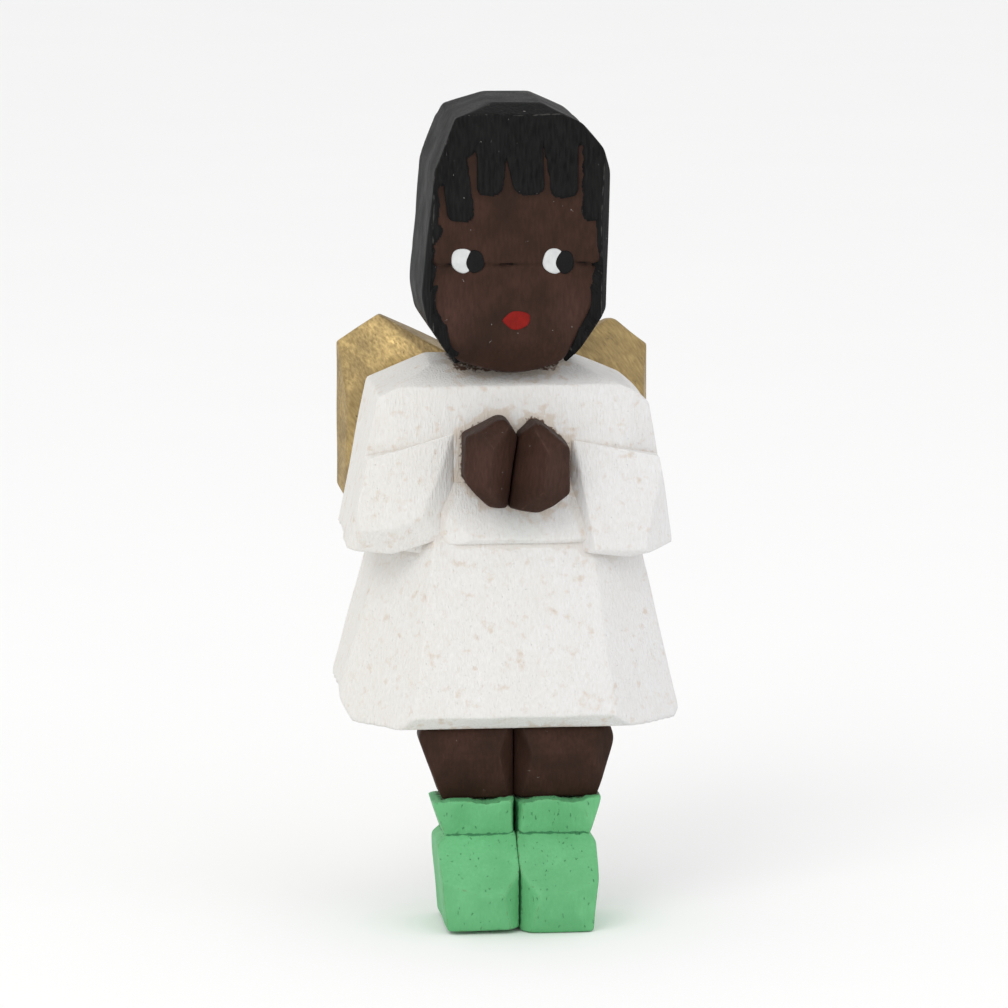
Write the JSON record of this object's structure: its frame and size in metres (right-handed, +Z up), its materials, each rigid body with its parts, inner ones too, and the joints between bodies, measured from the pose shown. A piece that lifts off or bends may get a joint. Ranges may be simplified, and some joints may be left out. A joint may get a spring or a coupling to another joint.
{
  "type": "seated angel figurine",
  "caption": "Carved and painted wooden child angel that sits on a shelf edge: white dress, dark hair, folded hands, gold wings and green boots hanging down.",
  "frame": {"origin": "on the flat seat under the dress, on the figure's middle line, 1.5 mm behind the seat's front edge", "axes": "+Z up towards the crown; -Y is the way the figure faces; +X is to the right as a viewer sees the front. Node names use that left and right: left is -X."},
  "size_m": [0.0304, 0.0306, 0.073],
  "materials": {
    "dress_paint": "thin matte white paint over wood grain",
    "skin_paint": "dark brown paint, satin",
    "hair_paint": "black paint, dry brushed on the edges",
    "boot_paint": "green paint, matte",
    "wing_paint": "bronze gold paint, brushed on",
    "bare_wood": "bare softwood dowel",
    "eye_white": "white paint dab",
    "eye_black": "black paint dab",
    "lip_red": "red paint dab"
  },
  "bodies": {
    "root": {"dress": "dress_paint", "head": "skin_paint", "hair": "hair_paint", "hand_left": "skin_paint", "hand_right": "skin_paint", "leg_left": "skin_paint", "leg_right": "skin_paint", "boot_left": "boot_paint", "boot_right": "boot_paint", "wing_left": "wing_paint", "wing_right": "wing_paint", "neck_dowel": "bare_wood", "leg_dowel_left": "bare_wood", "leg_dowel_right": "bare_wood", "wing_dowel_left": "bare_wood", "wing_dowel_right": "bare_wood"}
  },
  "joints": []
}
